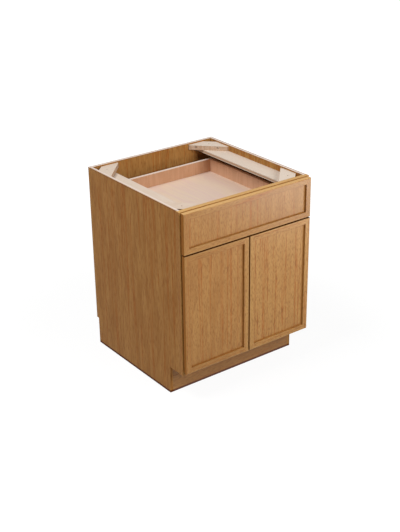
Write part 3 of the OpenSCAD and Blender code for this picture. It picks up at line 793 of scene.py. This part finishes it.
def clip(low, high):
    """A locking clip: an eased block with a pocket for a finger in its under side.

    Only the edges of the pocket's floor, which is the block's foot sunk in, stay sharp.
    """
    wall, pocket, ease = 3 * MM, 5 * MM, 0.8 * MM
    mesh = bmesh.new()
    bmesh.ops.create_cube(mesh, size=1)
    bmesh.ops.scale(mesh, vec=high - low, verts=mesh.verts)
    bmesh.ops.translate(mesh, vec=(low + high) / 2, verts=mesh.verts)
    foot = min(mesh.faces, key=lambda face: face.calc_center_median().z)
    bmesh.ops.inset_individual(mesh, faces=[foot], thickness=wall, depth=-pocket,
                               use_even_offset=True)
    outer = [edge for edge in mesh.edges if edge not in foot.edges]
    bmesh.ops.bevel(mesh, geom=outer, offset=ease, offset_type="OFFSET", segments=2, profile=0.5,
                    affect="EDGES", material=-1)
    return mesh


def turned_shapes(node, make):
    """A turned shape and its matrix for each solid of a CAD node, from that solid's sizes."""
    shapes = []
    for points in solids(node):
        matrix, *sizes = turned_place(points)
        shapes.append((make(*sizes), matrix))
    return shapes


def settle(name, shapes, node, body, material):
    """Joins shapes, each moved by its matrix, to one piece that stands for a CAD node."""
    whole = bmesh.new()
    for shape, matrix in shapes:
        bmesh.ops.transform(shape, matrix=matrix, verts=shape.verts)
        part = bpy.data.meshes.new("part")
        shape.to_mesh(part)
        shape.free()
        whole.from_mesh(part)
        bpy.data.meshes.remove(part)
    for face in whole.faces:
        face.smooth = True
    for edge in whole.edges:
        edge.smooth = edge.calc_face_angle(0) < SHARP
    piece = mesh_object(name, whole)
    piece.data.materials.append(material)
    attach(piece, body)
    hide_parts(node)


class CABINET_OT_hardware(bpy.types.Operator):
    """Plate the slides and the hinges"""

    bl_idname = "cabinet.hardware"
    bl_label = "Hardware"

    def execute(self, context):
        zinc = zinc_plate("zinc_plate")
        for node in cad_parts:
            if node.startswith(("slide_", "drawer_rail", "hinge_")) and not node.endswith("screws"):
                paint(node, zinc)
        return {"FINISHED"}


class CABINET_OT_screws(bpy.types.Operator):
    """Turn the wood screws, with their threads and cross recesses"""

    bl_idname = "cabinet.screws"
    bl_label = "Screws"

    def execute(self, context):
        zinc = bpy.data.materials["zinc_plate"]
        for node in ("block_screws", "slide_screws", "hinge_screws", "drawer_front_screws"):
            body = "drawer" if node == "drawer_front_screws" else "cabinet"
            settle("turned_" + node, turned_shapes(node, wood_screw), node, body,
                   zinc)
        return {"FINISHED"}


class CABINET_OT_shelf_pins(bpy.types.Operator):
    """Turn the shelf pins, with their collars and rounded ends"""

    bl_idname = "cabinet.shelf_pins"
    bl_label = "Shelf pins"

    def execute(self, context):
        settle("turned_shelf_pins", turned_shapes("shelf_pins", shelf_pin), "shelf_pins",
               "cabinet", bpy.data.materials["zinc_plate"])
        return {"FINISHED"}


class CABINET_OT_bumpers(bpy.types.Operator):
    """Cast the domed bumpers on the backs of the doors"""

    bl_idname = "cabinet.bumpers"
    bl_label = "Bumpers"

    def execute(self, context):
        polyurethane = cast_polyurethane("cast_polyurethane")
        for body in ("door_left", "door_right"):
            shapes = []
            for points in solids(body + "_bumpers"):
                low, high = box_of(points)
                middle = (low + high) / 2
                seat = Matrix.Translation((middle.x, low.y, middle.z))
                shapes.append((bumper((high.x - low.x) / 2, high.y - low.y),
                               seat @ Matrix.Rotation(-math.pi / 2, 4, "X")))
            settle(f"domed_{body}_bumpers", shapes, body + "_bumpers", body,
                   polyurethane)
        return {"FINISHED"}


class CABINET_OT_clips(bpy.types.Operator):
    """Mould the locking clips under the drawer"""

    bl_idname = "cabinet.clips"
    bl_label = "Clips"

    def execute(self, context):
        shapes = [(clip(*box_of(points)), Matrix.Identity(4)) for points in solids("drawer_clips")]
        settle("moulded_drawer_clips", shapes, "drawer_clips", "drawer",
               moulded_acetal("moulded_acetal"))
        return {"FINISHED"}


# Studio

CAMERA_PLACE = Vector((-2.26934, -3.06819, 2.15100))
CAMERA_AZIMUTH = math.radians(-36.509)
CAMERA_ELEVATION = math.radians(24.964)
CAMERA_ROLL = math.radians(-0.830)
CAMERA_REACH = 100  # metres
LAMPS = (  # name, place, target, side, and the setting that holds the power
    ("key_lamp", (0.5, -2.7, 2.0), (0, -0.3, 0.45), 1.4, "key_power"),
    ("left_lamp", (-2.75, 0.45, 5.45), (-0.2, 0, 0.5), 2.4, "left_power"),
    ("sheen_lamp", (1.65, -2.0, 0.01), (1.65, -2.0, 2), 1.0, "sheen_power"),
)
FLOOR_HALF = 9  # metres
FLOOR_GREY = (0.5, 0.5, 0.5)
SHADOW_REACH = (0.7, 2.2)  # metres from the middle where the shadow starts to fade, and is gone
WHITE = (1, 1, 1)


def aim(azimuth, elevation, roll):
    """The turn of a camera that looks at the cabinet from an azimuth and elevation."""
    back = Vector((
        math.sin(azimuth) * math.cos(elevation),
        -math.cos(azimuth) * math.cos(elevation),
        math.sin(elevation),
    ))
    turn = (-back).to_track_quat("-Z", "Y").to_matrix()
    return turn @ Matrix.Rotation(roll, 3, "Z")


def place(item, location, turn):
    """Puts a camera or lamp in its place."""
    item.matrix_world = Matrix.Translation(location) @ turn.to_4x4()
    bpy.context.scene.collection.objects.link(item)


def lamp(name, location, target, size, power):
    """A square area lamp that faces a target."""
    light = bpy.data.lights.new(name, "AREA")
    light.size = size
    light.energy = power
    item = bpy.data.objects.new(name, light)
    item.visible_camera = False
    turn = (Vector(target) - Vector(location)).to_track_quat("-Z", "Y").to_matrix()
    place(item, Vector(location), turn)


def seen_as_white(tree):
    """One for rays that see the background: from the camera, in gloss and through clear pieces."""
    rays = add(tree, "LightPath").node.outputs
    seen = add(tree, "Math", MAXIMUM, _0=rays["Is Camera Ray"], _1=rays["Is Glossy Ray"])
    return add(tree, "Math", MAXIMUM, _0=seen, _1=rays["Is Transmission Ray"])


def floor_paint():
    """Matt white floor: it shows as white and still takes a soft shadow near the cabinet."""
    material, tree = new_material("studio_floor")
    matt = add(tree, "BsdfDiffuse", None, Color=FLOOR_GREY)
    glow = add(tree, "Emission", None, Color=WHITE, Strength=1.15)
    coords = add(tree, "TexCoord", None, "Object")
    far = add(tree, "VectorMath", {"operation": "LENGTH"}, "Value", _0=coords)
    near, gone = SHADOW_REACH
    fade = add(tree, "MapRange", SMOOTH, _0=far, _1=near, _2=gone, _3=0.8, _4=1)
    share = add(tree, "Math", MULTIPLY, _0=seen_as_white(tree), _1=fade)
    surface = add(tree, "MixShader", None, _0=share, _1=matt, _2=glow)
    add(tree, "OutputMaterial", None, Surface=surface)
    return material


class CABINET_OT_stage(bpy.types.Operator):
    """Set up the floor, the lamps, the white surroundings and the camera"""

    bl_idname = "cabinet.stage"
    bl_label = "Stage"

    def execute(self, context):
        scene = context.scene
        stage = scene.cabinet_stage
        scene.view_settings.view_transform = "Standard"

        mesh = bmesh.new()
        bmesh.ops.create_grid(mesh, x_segments=1, y_segments=1, size=FLOOR_HALF)
        floor = mesh_object("floor", mesh)
        floor.data.materials.append(floor_paint())

        world = bpy.data.worlds.new("studio")
        world.use_nodes = True
        tree = world.node_tree
        tree.nodes.clear()
        seen = seen_as_white(tree)
        strength = add(tree, "MapRange", None, _0=seen, _1=0, _2=1, _3=stage.world_light, _4=1)
        sky = add(tree, "Background", None, Color=WHITE, Strength=strength)
        add(tree, "OutputWorld", None, Surface=sky)
        scene.world = world

        for name, location, target, size, setting in LAMPS:
            lamp(name, location, target, size, getattr(stage, setting))

        camera = bpy.data.cameras.new("camera")
        camera.lens = stage.lens
        camera.clip_end = CAMERA_REACH
        item = bpy.data.objects.new("camera", camera)
        place(item, CAMERA_PLACE, aim(CAMERA_AZIMUTH, CAMERA_ELEVATION, CAMERA_ROLL))
        scene.camera = item
        return {"FINISHED"}


class CABINET_PT_sidebar(bpy.types.Panel):
    """Steps of the cabinet's finish"""

    bl_idname = "CABINET_PT_sidebar"
    bl_label = "Cabinet"
    bl_space_type = "VIEW_3D"
    bl_region_type = "UI"
    bl_category = "Cabinet"

    def draw(self, context):
        for step in STEPS:
            self.layout.operator(step.bl_idname)
        for name in SETTINGS:
            group = getattr(context.scene, name)
            for key in group.bl_rna.properties.keys():
                if key not in ("rna_type", "name"):
                    self.layout.prop(group, key)


SETTINGS = {
    "cabinet_stain": CABINET_PG_stain,
    "cabinet_metal": CABINET_PG_metal,
    "cabinet_stage": CABINET_PG_stage,
}
STEPS = (
    CABINET_OT_carcass,
    CABINET_OT_face_frame,
    CABINET_OT_top_supports,
    CABINET_OT_fronts,
    CABINET_OT_drawer_box,
    CABINET_OT_hardware,
    CABINET_OT_screws,
    CABINET_OT_shelf_pins,
    CABINET_OT_bumpers,
    CABINET_OT_clips,
    CABINET_OT_stage,
)


def register():
    """Registers the settings, the steps and the panel."""
    for name, group in SETTINGS.items():
        bpy.utils.register_class(group)
        setattr(bpy.types.Scene, name, PointerProperty(type=group))
    for step in (*STEPS, CABINET_PT_sidebar):
        bpy.utils.register_class(step)


def unregister():
    """Takes the panel, the steps and the settings out again."""
    for step in reversed((*STEPS, CABINET_PT_sidebar)):
        bpy.utils.unregister_class(step)
    for name, group in reversed(SETTINGS.items()):
        delattr(bpy.types.Scene, name)
        bpy.utils.unregister_class(group)


def main():
    """Runs every step in order."""
    register()
    for step in STEPS:
        family, name = step.bl_idname.split(".")
        getattr(getattr(bpy.ops, family), name)()


if __name__ == "__main__":
    main()
